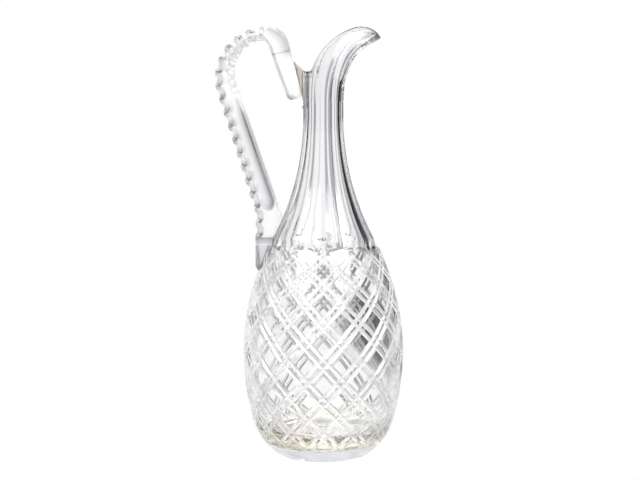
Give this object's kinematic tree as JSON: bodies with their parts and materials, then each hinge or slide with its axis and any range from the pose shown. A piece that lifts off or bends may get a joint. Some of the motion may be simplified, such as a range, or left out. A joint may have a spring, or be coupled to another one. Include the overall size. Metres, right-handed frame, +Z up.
{
  "type": "glass carafe",
  "caption": "Tall cut-glass carafe with an ovoid body, fluted neck, long pouring beak and an applied solid handle with scalloped edges.",
  "frame": {"origin": "centre of the flat base, on the axis of the body and neck", "axes": "+Z up along the body axis, +X towards the pouring beak, the handle on the -X side, +Y completes a right-handed frame"},
  "size_m": [0.1396, 0.12, 0.318],
  "materials": {
    "vessel_glass": "polished cut crystal",
    "handle_glass": "polished solid crystal"
  },
  "bodies": {
    "root": {"vessel": "vessel_glass", "handle": "handle_glass"}
  },
  "joints": []
}
